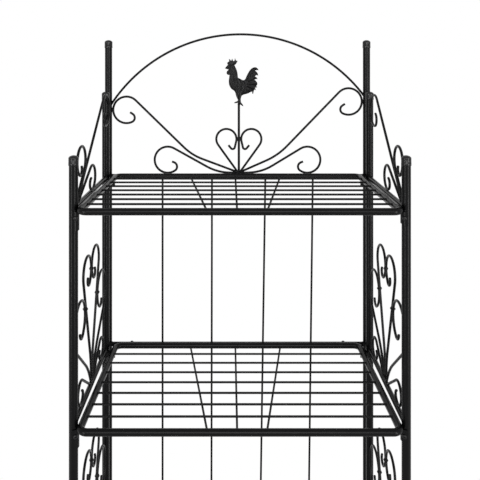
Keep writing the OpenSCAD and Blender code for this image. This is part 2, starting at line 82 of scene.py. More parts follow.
# Radii of posts, side rails, crossbars, shelf tubes, shelf wires, scroll wires and the stem
POST_R = 8
RAIL_R = 5
BAR_R = 5
SHELF_TUBE_R = 6.35
SHELF_WIRE_R = 2
SCROLL_R = 2.5
STEM_R = 2.75

# Clearance beside the posts and the stem, and at a rail, a bar or another wire
GAP = 0.15
TOUCH = 0.1

# Crossbar axes under the shelf tube axes, and the crossbars' tops above these
BAR_DROP = 2
BAR_TOP = BAR_R - BAR_DROP

# Shelves: axes of the front and back bars, and corner bends
SHELF_FRONT = FRONT_Y - 20
SHELF_BACK = REAR_Y + 19
SHELF_BEND = 14

# Side bars of a shelf: how far they draw in to the back, axes at the front posts, and angle
SHELF_TAPER = 5
SIDE_BAR_X = POST_X - POST_R - SHELF_TUBE_R - GAP
TAPER = math.degrees(math.atan(SHELF_TAPER / (SHELF_BACK - FRONT_Y)))

# Long shelf wires: lift above the tube axis, number, and the first and last from their bars
WIRE_LIFT = 3.3
LONG_WIRES = 7
FIRST_WIRE = 40.5
LAST_WIRE = 45.5

# Cross wires under them: sideways places at the front bar and at the back bar
CROSS_WIRES = ((-56, -106), (-5, -5), (46, 96))

# Tall and low side scrolls: loop centres above the rail or from the side's middle, and radii
TALL_H = 230.5
TALL_R = 32
LOW_X = 86
LOW_R = 21

# Middle side scrolls: upper loop centre above the rail, radius, and straight in the loop
MIDDLE_H = {"front": 160, "rear": 155}
MIDDLE_R = 37
MIDDLE_RISE = 19

# Sloping wire above the top rail: its foot, and the height and radius of its hook
SLOPE_FOOT = (22, 6.3)
HOOK_H = 153
HOOK_R = 33

# Scroll over the sloping wire: place along it, radius, and clearance
UPPER_ALONG = 67
UPPER_R = 27
UPPER_CLEAR = 0.7

# Scroll under it: loop centre behind the front post, and radius
UNDER_X = 125
UNDER_R = 23.5

# Inward lean of these three wires on each side
LEAN = {-1: 1.9, 1: 0}

# Large back scrolls: loop centre above the top shelf, radius, and root
BIG_H = {-1: 148, 1: 167}
BIG_R = 30
BIG_ROOT = {-1: {"heading": 20.5, "run": 88, "knee": 120},
            1: {"heading": 23.8, "run": 67, "knee": 150}}

# Small back scrolls: loop centre from the stem, radius, and clearance over the crossbar
SMALL_X = {-1: 161, 1: 155}
SMALL_R = 29.5
SMALL_CLEAR = 0.2

# Heart scrolls: loop centre above the top shelf, and radius
HEART_H = 82
HEART_R = 22.8

# Arch: radius, sideways place of its centre, how far this is under the top shelf, and points
ARCH_R = 350
ARCH_X = 7
ARCH_DOWN = 31
ARCH_POINTS = 90

# Head of every screw: radius and height
HEAD_R = 4
HEAD_H = 2.5

# Bracket screws: under the shelf axis, turn in from straight ahead, and seat from the post axis
SCREW_DROP = 14.5
SCREW_TURN = 33
SCREW_SEAT = 10.1

# Panel screws: from the middle, and how deep their seat is in the crossbar
PANEL_SCREW_X = 240
PANEL_SCREW_SINK = 0.1

# Caps and feet: height, bore over the post, and tops of the caps above the posts
MOULDING_H = 18
MOULDING_BORE_R = 8.06
CAP_ABOVE = 5.5

# Weld beads: radii of the joints that they run round
RAIL_BEAD = 0.94 * RAIL_R
BAR_BEAD = 0.94 * BAR_R
SEAM_BEAD = 0.86 * SHELF_TUBE_R

# Weld tacks: half width and half length of each kind
ROOT_TACK = (3.2, 12)
SLOPE_TACK = (3, 10)
STEM_TACK = (3, 9)
LOOP_TACK = (4.6, 3.8)
CROSSING_TACK = (5, 4)
SIDE_TACK = (2, 5)
HEART_TACK = (1.8, 4.5)
TOE_TACK = (2.9, 4)

# Root tacks: over a rail, over the top rail at the sloping wire, and over the top crossbar
ROOT_LIFT = 1.5
SLOPE_LIFT = 1
STEM_LIFT = 2

# Tack ahead of the sloping wire's foot, and tack under the centres of the tall loops
SLOPE_AHEAD = 4
TALL_UNDER = 3

# Touch of a tall and a middle side scroll: from the side's middle, outward slant, and height
CROSSING_X = 50.5
CROSSING_SLANT = 0.1
CROSSING_H = {(-1, "front"): 168, (-1, "rear"): 161, (1, "front"): 169, (1, "rear"): 169}

# Turn from one bead, tack or screw to the next, in radians, so that no two look alike
BEAD_SPIN = 0.8
TACK_SPIN = 1.3
SCREW_SPIN = 0.7
PANEL_SCREW_SPIN = 0.9

# Cut ends of wires: distance from the end, and share of the full radius there
END_ROUNDING = ((0, 0.72), (0.25, 0.9), (0.7, 1))

# Largest turn in one step of a bend, and in one step of a bend wider than this radius
BEND_STEP = 6
WIDE_STEP = 3
WIDE_BEND = 60

# Edges that turn more than this stay sharp
SHARP = 50

# Drift of colour and gloss over a finish: noise scales, and how far they go either way
COLOUR_SCALE = 22
COLOUR_DRIFT = 0.2
GLOSS_SCALE = 60
GLOSS_DRIFT = 0.05


def coat(name, colour, roughness, specular, grain, bump):
    """Painted or moulded finish: colour and gloss that drift a little, over a fine grain.

    grain is the noise scale of the relief, and bump is its depth in metres.
    """
    made = bpy.data.materials.new(name)
    made.use_nodes = True
    nodes, links = made.node_tree.nodes, made.node_tree.links
    shader = nodes["Principled BSDF"]
    shader.inputs["Specular IOR Level"].default_value = specular
    place = nodes.new("ShaderNodeTexCoord")

    def noise(scale, detail):
        node = nodes.new("ShaderNodeTexNoise")
        node.inputs["Scale"].default_value = scale
        node.inputs["Detail"].default_value = detail
        links.new(place.outputs["Object"], node.inputs["Vector"])
        return node.outputs["Fac"]

    tint = nodes.new("ShaderNodeValToRGB")
    darker, lighter = tint.color_ramp.elements
    darker.position = 0.3
    darker.color = (*[c * (1 - COLOUR_DRIFT) for c in colour], 1)
    lighter.position = 0.7
    lighter.color = (*[c * (1 + COLOUR_DRIFT) for c in colour], 1)
    links.new(noise(COLOUR_SCALE, detail=3), tint.inputs["Fac"])
    links.new(tint.outputs["Color"], shader.inputs["Base Color"])

    gloss = nodes.new("ShaderNodeMapRange")
    gloss.inputs["To Min"].default_value = roughness - GLOSS_DRIFT
    gloss.inputs["To Max"].default_value = roughness + GLOSS_DRIFT
    links.new(noise(GLOSS_SCALE, detail=2), gloss.inputs["Value"])
    links.new(gloss.outputs["Result"], shader.inputs["Roughness"])

    relief = nodes.new("ShaderNodeBump")
    relief.inputs["Strength"].default_value = 0.5
    relief.inputs["Distance"].default_value = bump
    links.new(noise(grain, detail=3), relief.inputs["Height"])
    links.new(relief.outputs["Normal"], shader.inputs["Normal"])
    return made


powder_coat = coat("powder_coat", (0.0017, 0.0017, 0.0019), roughness=0.28, specular=0.11,
                   grain=900, bump=0.00002)
black_plastic = coat("black_plastic", (0.004, 0.004, 0.0043), roughness=0.24, specular=0.24,
                     grain=1600, bump=0.00001)
black_screw = coat("black_screw", (0.005, 0.005, 0.0054), roughness=0.26, specular=0.18,
                   grain=1200, bump=0.00002)
FINISH = {"metal": powder_coat, "caps": black_plastic, "screws": black_screw}


def dress(obj, slot):
    """Gives a piece the finish of one of the record's material slots."""
    if obj.material_slots:
        for entry in obj.material_slots:
            entry.material = FINISH[slot]
    else:
        obj.data.materials.append(FINISH[slot])


def keep(obj, slot, *replaced):
    """Finishes a new piece: it rides on the stand and takes the place of the named parts."""
    dress(obj, slot)
    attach(obj, "root")
    if replaced:
        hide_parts(*replaced)


def new_object(name, mesh):
    """Puts a mesh in the scene as an object."""
    obj = bpy.data.objects.new(name, mesh)
    bpy.context.scene.collection.objects.link(obj)
    return obj


def mesh_object(name, points, edges=(), faces=()):
    """New object from points in millimetres."""
    mesh = bpy.data.meshes.new(name)
    mesh.from_pydata([Vector(p) * MM for p in points], edges, faces)
    return new_object(name, mesh)


def set_attribute(obj, name, kind, values):
    """Stores one value for each point of a mesh."""
    attribute = obj.data.attributes.new(name, kind, "POINT")
    key = "vector" if kind == "FLOAT_VECTOR" else "value"
    attribute.data.foreach_set(key, np.array(values, np.float32).ravel())


class Tree:
    """A Geometry Nodes tree with named inputs."""

    def __init__(self, name, **inputs):
        self.group = bpy.data.node_groups.new(name, "GeometryNodeTree")
        face = self.group.interface
        face.new_socket("Geometry", in_out="OUTPUT", socket_type="NodeSocketGeometry")
        face.new_socket("Geometry", in_out="INPUT", socket_type="NodeSocketGeometry")
        self.sockets = {
            key: face.new_socket(key.replace("_", " ").capitalize(), in_out="INPUT",
                                 socket_type=f"NodeSocket{kind}").identifier
            for key, kind in inputs.items()
        }
        self.start = self.group.nodes.new("NodeGroupInput")
        self.end = self.group.nodes.new("NodeGroupOutput")

    def given(self, key):
        """Output socket of one of the tree's own inputs."""
        return next(s for s in self.start.outputs if s.identifier == self.sockets[key])

    def add(self, kind, outlet=None, settings=None, **wires):
        """Adds a node, wires or sets its inputs by name, and returns its first or named output."""
        node = self.group.nodes.new(kind)
        for key, value in (settings or {}).items():
            setattr(node, key, value)
        for key, value in wires.items():
            socket = next(s for s in node.inputs if s.enabled and s.name == key.replace("_", " "))
            if isinstance(value, bpy.types.NodeSocket):
                self.group.links.new(value, socket)
            else:
                socket.default_value = value
        return next(s for s in node.outputs if s.enabled and outlet in (None, s.name))

    def attribute(self, name, kind):
        """Value that the mesh stores for each of its points."""
        return self.add("GeometryNodeInputNamedAttribute", settings={"data_type": kind}, Name=name)

    def finish(self, geometry):
        """Ends the tree: real geometry with its material."""
        real = self.add("GeometryNodeRealizeInstances", Geometry=geometry)
        coated = self.add("GeometryNodeSetMaterial", Geometry=real, Material=self.given("coat"))
        self.group.links.new(coated, self.end.inputs[0])

    def grow(self, obj, **values):
        """Runs the tree on an object and keeps the result as its plain mesh."""
        modifier = obj.modifiers.new(self.group.name, "NODES")
        modifier.node_group = self.group
        for key, value in values.items():
            modifier[self.sockets[key]] = value
        bpy.context.view_layer.update()
        graph = bpy.context.evaluated_depsgraph_get()
        mesh = bpy.data.meshes.new_from_object(obj.evaluated_get(graph))
        obj.modifiers.clear()
        old, obj.data = obj.data, mesh
        bpy.data.meshes.remove(old)
        mesh.set_sharp_from_angle(angle=math.radians(SHARP))


def drawn_wire_tree():
    """Round wire or tube along the edges of a mesh; girth thins it at its cut ends."""
    tree = Tree("drawn_wire", radius="Float", sides="Int", coat="Material")
    line = tree.add("GeometryNodeMeshToCurve", Mesh=tree.start.outputs[0])
    section = tree.add("GeometryNodeCurvePrimitiveCircle", Resolution=tree.given("sides"),
                       Radius=tree.given("radius"))
    swept = tree.add("GeometryNodeCurveToMesh", Curve=line, Profile_Curve=section,
                     Scale=tree.attribute("girth", "FLOAT"), Fill_Caps=True)
    tree.finish(tree.add("GeometryNodeSetShadeSmooth", Geometry=swept, Shade_Smooth=True))
    return tree


def stamped_tree():
    """A pattern piece on every point, its Z turned along axis and spun by turn, sized by size."""
    tree = Tree("stamped", pattern="Object", coat="Material")
    pattern = tree.add("GeometryNodeObjectInfo", outlet="Geometry", Object=tree.given("pattern"))
    spun = tree.add("FunctionNodeAxisAngleToRotation", Axis=UPWARD,
                    Angle=tree.attribute("turn", "FLOAT"))
    aimed = tree.add("FunctionNodeAlignRotationToVector", settings={"axis": "Z"},
                     Vector=tree.attribute("axis", "FLOAT_VECTOR"))
    facing = tree.add("FunctionNodeRotateRotation", settings={"rotation_space": "LOCAL"},
                      Rotation=aimed, Rotate_By=spun)
    placed = tree.add("GeometryNodeInstanceOnPoints", Points=tree.start.outputs[0],
                      Instance=pattern, Rotation=facing,
                      Scale=tree.attribute("size", "FLOAT_VECTOR"))
    tree.finish(placed)
    return tree


DRAWN = drawn_wire_tree()
STAMPED = stamped_tree()


def heading_of_line(a, ra, b, rb):
    """Heading of the straight wire from the bend round a to the loop round b."""
    across = b[0] - a[0]
    up = b[1] - a[1]
    return math.degrees(math.atan2(up, across) + math.asin((ra + rb) / math.hypot(across, up)))


def turtle(start, heading, steps):
    """Points along straights (length,) and bends (radius, turn), turn positive to the left."""
    x, y = start
    points = [(x, y)]
    for step in steps:
        angle = math.radians(heading)
        if len(step) == 1:
            if step[0] > 0:
                x += step[0] * math.cos(angle)
                y += step[0] * math.sin(angle)
                points.append((x, y))
            continue
        radius, turn = step
        side = math.copysign(1, turn)
        hub_x = x - side * radius * math.sin(angle)
        hub_y = y + side * radius * math.cos(angle)
        pieces = max(3, math.ceil(abs(turn) / (WIDE_STEP if radius > WIDE_BEND else BEND_STEP)))
        for k in range(1, pieces + 1):
            now = math.radians(heading + turn * k / pieces)
            x = hub_x + side * radius * math.sin(now)
            y = hub_y - side * radius * math.cos(now)
            points.append((x, y))
        heading += turn
    return points


def scroll(foot, loop, r, past, curl_r, curl, heading=0, run=0, knee=0, root=0, rise=0, drop=0,
           tip=0):
    """A scroll: a knee from the foot if it has one, a line, a loop and a tighter curl.

    The loop turns right until its heading is -past, and the curl turns right by curl more.
    root lengthens the wire below its foot, into the weld. rise is a straight up the outer side
    of the loop, drop one before the curl and tip one after it.
    """
    turned = math.radians(heading)
    a = (foot[0] + run * math.cos(turned) - knee * math.sin(turned),
         foot[1] + run * math.sin(turned) + knee * math.cos(turned))
    line_heading = heading_of_line(a, knee, loop, r)
    line = math.sqrt(math.dist(a, loop)**2 - (knee + r)**2)
    if rise:
        turns = [(r, 90 - line_heading), (rise,), (r, -90 - past)]
    else:
        turns = [(r, -line_heading - past)]
    end = [*turns, (drop,), (curl_r, -curl), (tip,)]
    if knee:
        start = heading
        steps = [(run + root,), (knee, line_heading - heading), (line,), *end]
    else:
        start = line_heading
        steps = [(line + root,), *end]
    back = math.radians(start)
    return turtle((foot[0] - root * math.cos(back), foot[1] - root * math.sin(back)), start, steps)


def flip(points):
    """Mirror image of a flat path."""
    return [(-x, y) for x, y in points]


def on_side(s, y, z, path, lean=0):
    """Stands a flat path up in a side frame: its x runs back from y, leaning inward."""
    turn = math.radians(lean)
    return [(s * (POST_X - u * math.sin(turn)), y + u * math.cos(turn), z + v) for u, v in path]


def on_back(s, path):
    """Stands a flat path up in the back panel: its x runs away from the stem to side s."""
    return [(STEM_X + s * u, PANEL_Y, TOP + v) for u, v in path]


def ease_ends(path):
    """Adds points and girths that round the two cut ends of a wire."""
    def toward(a, b, distance):
        return tuple(Vector(a) + (Vector(b) - Vector(a)).normalized() * distance)

    head = [toward(path[0], path[1], distance) for distance, _ in END_ROUNDING]
    tail = [toward(path[-1], path[-2], distance) for distance, _ in reversed(END_ROUNDING)]
    girths = [girth for _, girth in END_ROUNDING]
    return head + list(path[1:-1]) + tail, girths + [1] * (len(path) - 2) + girths[::-1]


def bent_wires(name, paths, radius, replaced, closed=False, sides=20):
    """One piece of round wires, each along its own path of points."""
    points, edges, girth = [], [], []
    for path in paths:
        first = len(points)
        path, thinning = (path, [1] * len(path)) if closed else ease_ends(path)
        points += path
        girth += thinning
        edges += [(i, i + 1) for i in range(first, len(points) - 1)]
        if closed:
            edges.append((len(points) - 1, first))
    obj = mesh_object(name, points, edges)
    set_attribute(obj, "girth", "FLOAT", girth)
    DRAWN.grow(obj, radius=radius * MM, sides=sides, coat=powder_coat)
    keep(obj, "metal", replaced)


class Spot(NamedTuple):
    """Where a copy of a pattern piece goes, which way its Z points, its turn and its scale.

    The turn is in radians, about its Z.
    """

    point: tuple
    axis: tuple = UPWARD
    turn: float = 0
    size: tuple = (1, 1, 1)


def stamp(name, pattern, slot, spots, *replaced):
    """One piece of copies of a pattern piece, which is then removed."""
    obj = mesh_object(name, [spot.point for spot in spots])
    set_attribute(obj, "axis", "FLOAT_VECTOR", [spot.axis for spot in spots])
    set_attribute(obj, "turn", "FLOAT", [spot.turn for spot in spots])
    set_attribute(obj, "size", "FLOAT_VECTOR", [spot.size for spot in spots])
    STAMPED.grow(obj, pattern=pattern, coat=FINISH[slot])
    bpy.data.objects.remove(pattern)
    keep(obj, slot, *replaced)


def turned_shape(name, rings, low, high):
    """Closed shape through rings of points round Z, from the axis at low to the axis at high."""
    sides = len(rings[0])
    points = [(0, 0, low), *[point for ring in rings for point in ring], (0, 0, high)]
    beside = [(k, (k + 1) % sides) for k in range(sides)]
    last = 1 + (len(rings) - 1) * sides
    faces = [(0, 1 + q, 1 + p) for p, q in beside]
    for a in range(1, last, sides):
        b = a + sides
        faces += [(a + q, b + q, b + p, a + p) for p, q in beside]
    faces += [(last + p, last + q, len(points) - 1) for p, q in beside]
    obj = mesh_object(name, points, faces=faces)
    obj.data.shade_smooth()
    return obj


def circle(r, z, sides):
    """Points of a level circle round the Z axis."""
    angles = [2 * math.pi * k / sides for k in range(sides)]
    return [(r * math.cos(a), r * math.sin(a), z) for a in angles]


def lathe(name, profile, sides=48):
    """Solid of revolution about Z; the profile runs from the axis to the axis, from below."""
    rings = [circle(r, z, sides) for r, z in profile[1:-1]]
    return turned_shape(name, rings, profile[0][1], profile[-1][1])


def arc(cx, cz, r, start, end, steps):
    """Profile points on an arc about (cx, cz)."""
    angles = [math.radians(start + (end - start) * k / steps) for k in range(steps + 1)]
    return [(cx + r * math.cos(a), cz + r * math.sin(a)) for a in angles]


def side_half(place):
    """The three scrolls in one half of a side bay, drawn towards -x from its middle."""
    tall_x = TALL_R + SCROLL_R + TOUCH
    middle_x = SIDE_DEPTH / 2 - POST_R - GAP - SCROLL_R - MIDDLE_R
    low_h = RAIL_R + SCROLL_R + TOUCH + LOW_R
    tall = scroll(foot=(-3.1, 2), heading=91, run=13, knee=180, loop=(-tall_x, TALL_H), r=TALL_R,
                  past=145, curl_r=10, curl=170)
    middle = scroll(foot=(-5.5, 4.5), heading=118, run=8, knee=160, rise=MIDDLE_RISE,
                    loop=(-middle_x, MIDDLE_H[place] - MIDDLE_RISE), r=MIDDLE_R, past=155,
                    curl_r=12, curl=120)
    low = scroll(foot=(15.2, 6.3), root=6, loop=(LOW_X, low_h), r=LOW_R, past=215, curl_r=9,
                 curl=130)
    return [tall, middle, flip(low)]


def side_scrolls(s, i):
    """The six scrolls of one bay of a side frame."""
    name = f"{SIDES[s]}_side_scrolls_{i}"
    flat = side_half("front") + [flip(path) for path in side_half("rear")]
    paths = [on_side(s, MID_Y, LEVELS[i - 1], path) for path in flat]
    bent_wires(f"{name}_wires", paths, SCROLL_R, name)


def hook_x(s):
    """Place from front to back of the sloping wire's loop, which leans against the rear post."""
    aside = SIDE_DEPTH * math.sin(math.radians(LEAN[s]))
    return SIDE_DEPTH - math.sqrt((POST_R + GAP + SCROLL_R)**2 - aside**2) - HOOK_R


def top_scrolls(s):
    """The sloping wire and the two scrolls above the top rail of a side frame."""
    hook = (hook_x(s), HOOK_H)
    slope = math.radians(heading_of_line(SLOPE_FOOT, 0, hook, HOOK_R))
    off = UPPER_R + 2 * SCROLL_R + UPPER_CLEAR
    upper_x = SLOPE_FOOT[0] + UPPER_ALONG * math.cos(slope) - off * math.sin(slope)
    upper_h = SLOPE_FOOT[1] + UPPER_ALONG * math.sin(slope) + off * math.cos(slope)
    under_h = RAIL_R + SCROLL_R + TOUCH + UNDER_R
    shapes = {
        "slope": scroll(foot=SLOPE_FOOT, root=4, loop=hook, r=HOOK_R, past=195, curl_r=13.5,
                        curl=150),
        "upper": flip(scroll(foot=(-14, 6), root=3, loop=(-upper_x, upper_h), r=UPPER_R, past=155,
                             curl_r=10, curl=150)),
        "lower": scroll(foot=(31.5, 6.5), root=7, loop=(UNDER_X, under_h), r=UNDER_R, past=205,
                        curl_r=11, curl=150),
    }
    for which, path in shapes.items():
        name = f"{SIDES[s]}_top_{which}"
        bent_wires(f"{name}_wire", [on_side(s, FRONT_Y, TOP, path, LEAN[s])], SCROLL_R, name)


def back_scrolls(s):
    """Large, small and heart scroll on one side of the rooster stem."""
    reach = POST_X - POST_R - GAP - SCROLL_R - BIG_R - s * STEM_X
    lie = BAR_TOP + SCROLL_R + SMALL_CLEAR
    heart_x = STEM_R + GAP + SCROLL_R + HEART_R
    shapes = {
        "big": scroll(foot=(0.4, 6.2), **BIG_ROOT[s], loop=(reach, BIG_H[s]), r=BIG_R, past=205,
                      curl_r=10.3, curl=122, tip=7),
        "small": scroll(foot=(11.5, lie), root=8, heading=2, run=12, knee=108,
                        loop=(SMALL_X[s], lie + SMALL_R), r=SMALL_R, past=214, curl_r=10.5,
                        curl=126, tip=5),
        "heart": flip(scroll(foot=(-9.8, 17.3), root=17, loop=(-heart_x, HEART_H), r=HEART_R,
                             past=103, drop=14, curl_r=5, curl=128, tip=9)),
    }
    for which, path in shapes.items():
        name = f"{SIDES[s]}_{which}_scroll"
        bent_wires(f"{name}_wire", [on_back(s, path)], SCROLL_R, name)


def arch_end(s):
    """Angle of the arch where it meets the panel post on side s, in radians."""
    angle = math.acos((POST_X - s * ARCH_X) / ARCH_R)
    return angle if s > 0 else math.pi - angle


def arch():
    """The arch between the panel posts."""
    path = [(ARCH_X + ARCH_R * math.cos(a), PANEL_Y, TOP - ARCH_DOWN + ARCH_R * math.sin(a))
            for a in np.linspace(arch_end(1), arch_end(-1), ARCH_POINTS)]
    bent_wires("arch_wire", [path], SCROLL_R, "arch")


def side_bar_x(y):
    """Sideways place of a shelf side bar at a place from front to back."""
    return SIDE_BAR_X - (y - FRONT_Y) * math.tan(math.radians(TAPER))


def shelf_tube(i):
    """Closed loop of tube round a shelf."""
    back_cut = SHELF_BEND * math.tan(math.radians(45 - TAPER / 2))
    front_cut = SHELF_BEND * math.tan(math.radians(45 + TAPER / 2))
    half_back = side_bar_x(SHELF_BACK) - back_cut
    side = (SHELF_BACK - SHELF_FRONT) / math.cos(math.radians(TAPER)) - back_cut - front_cut
    front = 2 * (side_bar_x(SHELF_FRONT) - front_cut)
    loop = turtle((0, SHELF_BACK), 0, [
        (half_back,), (SHELF_BEND, TAPER - 90), (side,), (SHELF_BEND, -90 - TAPER), (front,),
        (SHELF_BEND, -90 - TAPER), (side,), (SHELF_BEND, TAPER - 90)])
    path = [(x, y, LEVELS[i - 1]) for x, y in loop]
    name = f"shelf_frame_{i}"
    bent_wires(f"{name}_tube", [path], SHELF_TUBE_R, name, closed=True, sides=32)


def cap_pattern():
    """Domed post cap with a soft edge and a fine step, hollow underneath; its top is at 0."""
    outer = 8.9
    roof = -5.6
    seam = -13
    step = 0.12
    shoulder = 2.48
    dome = 13.2
    wall = [(0, roof), (MOULDING_BORE_R, roof), (MOULDING_BORE_R, -MOULDING_H),
            (outer - 0.35, -MOULDING_H), (outer, 0.4 - MOULDING_H), (outer, seam - 0.2),
            (outer - step, seam), (outer - step, -5)]
    return lathe("cap_pattern", wall + arc(outer - step - shoulder, -4.9, shoulder, 0, 62, 5)
                 + arc(0, -dome, dome, 60, 90, 6))


def foot_pattern():
    """Cup shaped foot with a rounded sole and a slimmer lip; the floor is at 0."""
    outer = 9.5
    sole = 7.6
    soft = 1.2
    lip = outer - 0.25
    floor = 3.1
    return lathe("foot_pattern", [(0, 0), (sole, 0)] + arc(outer - soft, soft, soft, -70, 0, 4)
                 + [(outer, 14.5), (lip, 15), (lip, MOULDING_H - 0.4), (outer - 0.6, MOULDING_H),
                    (MOULDING_BORE_R, MOULDING_H), (MOULDING_BORE_R, floor), (0, floor)])


def screw_pattern():
    """Pan head screw with a cross recess; its seat is at 0."""
    sides = 64
    recess_half = 0.5
    recess_reach = 2.1
    recess_depth = 1.5
    wall = 0.3
    toe = 0.4
    dome = 4.12
    collar = -1.4
    shank_r = 1.95
    shank_end = -7
    head_radii = [HEAD_R, 3.9, 3.7, 3.4, 3.05, 2.7, 2.35, 2.05, 1.75, 1.4, 1.05, 0.7, 0.35]

    def share(value):
        return min(max(value, 0), 1)

    def top(r, x, y):
        half = recess_half * (1.25 - 0.25 * r / recess_reach)
        inside = share((half - min(abs(x), abs(y))) / wall + 0.5) * share((recess_reach - r) / toe)
        return HEAD_H * math.sqrt(max(0, 1 - (r / dome)**4)) - recess_depth * inside

    shank = [(shank_r, shank_end), (shank_r, collar), (HEAD_R, collar)]
    rings = [circle(r, z, sides) for r, z in shank]
    rings += [[(x, y, top(r, x, y)) for x, y, _ in circle(r, 0, sides)] for r in head_radii]
    return turned_shape("screw_pattern", rings, shank_end, HEAD_H - recess_depth)


def ring_bead_pattern():
    """Weld bead round a butting wire of radius 1, with soft ripples; the wire runs along Z."""
    turns = 40
    sides = 10
    out = 0.22
    up = 0.3
    points, faces = [], []
    for k in range(turns):
        angle = 2 * math.pi * k / turns
        thick = 1 + 0.12 * math.cos(8 * angle) + 0.08 * math.sin(3 * angle)
        here = k * sides
        ahead = (k + 1) % turns * sides
        for j in range(sides):
            tilt = 2 * math.pi * j / sides
            r = 1 + out * thick * math.cos(tilt)
            points.append((r * math.cos(angle), r * math.sin(angle), up * thick * math.sin(tilt)))
            above = (j + 1) % sides
            faces.append((here + j, ahead + j, ahead + above, here + above))
    obj = mesh_object("ring_bead_pattern", points, faces=faces)
    obj.data.shade_smooth()
    return obj


def tack_pattern():
    """Weld tack of radius 1 with soft ripples."""
    mesh = bpy.data.meshes.new("tack_pattern")
    work = bmesh.new()
    bmesh.ops.create_icosphere(work, subdivisions=3, radius=1)
    for v in work.verts:
        x, y, z = v.co
        ripple = 1 + 0.07 * math.cos(9 * z) + 0.05 * math.sin(4 * math.atan2(y, x))
        v.co = Vector((x * ripple, y * ripple, z)) * MM
    work.to_mesh(mesh)
    work.free()
    mesh.shade_smooth()
    return new_object("tack_pattern", mesh)


def caps_and_feet():
    """Plastic caps on the six posts and plastic feet under them."""
    tops = {y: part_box(f"left_{post}_post")[1].z / MM
            for y, post in ((FRONT_Y, "front"), (REAR_Y, "rear"), (PANEL_Y, "panel"))}
    caps = [Spot((s * POST_X, y, z + CAP_ABOVE)) for s in SIDES for y, z in tops.items()]
    stamp("cap_mouldings", cap_pattern(), "caps", caps, "post_caps")
    feet = [Spot((s * POST_X, y, 0)) for s in SIDES for y in tops]
    stamp("foot_mouldings", foot_pattern(), "caps", feet, "feet")


def screws():
    """Bracket screws on the posts and panel screws behind the crossbars."""
    turn = math.radians(SCREW_TURN)
    spots = []
    for z, s, y in product(LEVELS, SIDES, (FRONT_Y, REAR_Y)):
        out = Vector((-s * math.sin(turn), -math.cos(turn), 0))
        seat = Vector((s * POST_X, y, z - SCREW_DROP)) + out * SCREW_SEAT
        spots.append(Spot(seat, out, SCREW_SPIN * len(spots)))
    stamp("bracket_screws", screw_pattern(), "screws", spots, "shelf_screws")
    seat_y = PANEL_Y + BAR_R - PANEL_SCREW_SINK
    spots = []
    for (k, z), s in product(enumerate(LEVELS), SIDES):
        seat = (s * PANEL_SCREW_X, seat_y, z - BAR_DROP / 2)
        spots.append(Spot(seat, BACKWARD, PANEL_SCREW_SPIN * k + s))
    stamp("crossbar_screws", screw_pattern(), "screws", spots, "panel_screws")


def shelf_beads(z, bead):
    """Weld beads of one shelf: the ends of its wires and the seam of its tube."""
    pitch = (SHELF_BACK - SHELF_FRONT - FIRST_WIRE - LAST_WIRE) / (LONG_WIRES - 1)
    meet = math.sqrt(SHELF_TUBE_R**2 - WIRE_LIFT**2)
    for k in range(LONG_WIRES):
        y = SHELF_FRONT + FIRST_WIRE + pitch * k
        for s in SIDES:
            bead((s * (side_bar_x(y) - meet), y, z + WIRE_LIFT), SIDEWAYS, SHELF_WIRE_R)
    low = z + WIRE_LIFT - 2 * SHELF_WIRE_R - TOUCH
    for front_x, back_x in CROSS_WIRES:
        way = Vector((back_x - front_x, SHELF_BACK - SHELF_FRONT, 0)).normalized()
        bead(Vector((front_x, SHELF_FRONT, low)) + way * SHELF_TUBE_R, way, SHELF_WIRE_R)
        bead(Vector((back_x, SHELF_BACK, low)) - way * SHELF_TUBE_R, way, SHELF_WIRE_R)
    bead((0, SHELF_BACK, z), SIDEWAYS, SEAM_BEAD)


def ring_beads():
    """Weld beads where a tube or wire butts against another."""
    spots = []

    def bead(point, axis, radius):
        spots.append(Spot(point, axis, BEAD_SPIN * len(spots), (radius, radius, radius)))

    for z in LEVELS:
        for s in SIDES:
            bead((s * POST_X, FRONT_Y + POST_R, z), BACKWARD, RAIL_BEAD)
            bead((s * POST_X, REAR_Y - POST_R, z), BACKWARD, RAIL_BEAD)
            bead((s * (POST_X - POST_R), PANEL_Y, z - BAR_DROP), SIDEWAYS, BAR_BEAD)
        shelf_beads(z, bead)
    for s in (1, -1):
        x = s * (POST_X - POST_R)
        up = math.sqrt(ARCH_R**2 - (x - ARCH_X)**2)
        along = (-math.sin(arch_end(s)), 0, math.cos(arch_end(s)))
        bead((x, PANEL_Y, TOP - ARCH_DOWN + up), along, SCROLL_R)
    bead((STEM_X, PANEL_Y, TOP + BAR_TOP), UPWARD, STEM_R)
    stamp("ring_welds", ring_bead_pattern(), "metal", spots)


def bay_tacks(s, z, tack):
    """Weld tacks of one side bay."""
    x = s * POST_X
    tack((x, MID_Y, z + RAIL_R + ROOT_LIFT), BACKWARD, ROOT_TACK)
    tack((x, MID_Y, z + TALL_H - TALL_UNDER), UPWARD, LOOP_TACK)
    for t, place in ((-1, "front"), (1, "rear")):
        tack((x, MID_Y + t * LOW_X, z + RAIL_R + TOUCH), BACKWARD, SIDE_TACK)
        post_y = MID_Y + t * (SIDE_DEPTH / 2 - POST_R)
        tack((x, post_y, z + MIDDLE_H[place]), UPWARD, SIDE_TACK)
        tack((x, MID_Y + t * CROSSING_X, z + CROSSING_H[s, place]), (0, t * CROSSING_SLANT, 1),
             CROSSING_TACK)


def top_tacks(s, tack):
    """Weld tacks of the wires above the top rail, which lean with them."""
    lean = math.radians(LEAN[s])

    def on_top(u, v, axis, size):
        point = (s * (POST_X - u * math.sin(lean)), FRONT_Y + u * math.cos(lean), TOP + v)
        tack(point, axis, size)

    on_top(SLOPE_FOOT[0] - SLOPE_AHEAD, RAIL_R + SLOPE_LIFT, BACKWARD, SLOPE_TACK)
    on_top(UNDER_X, RAIL_R + TOUCH, BACKWARD, SIDE_TACK)
    on_top(hook_x(s) + HOOK_R + SCROLL_R, HOOK_H, UPWARD, SIDE_TACK)


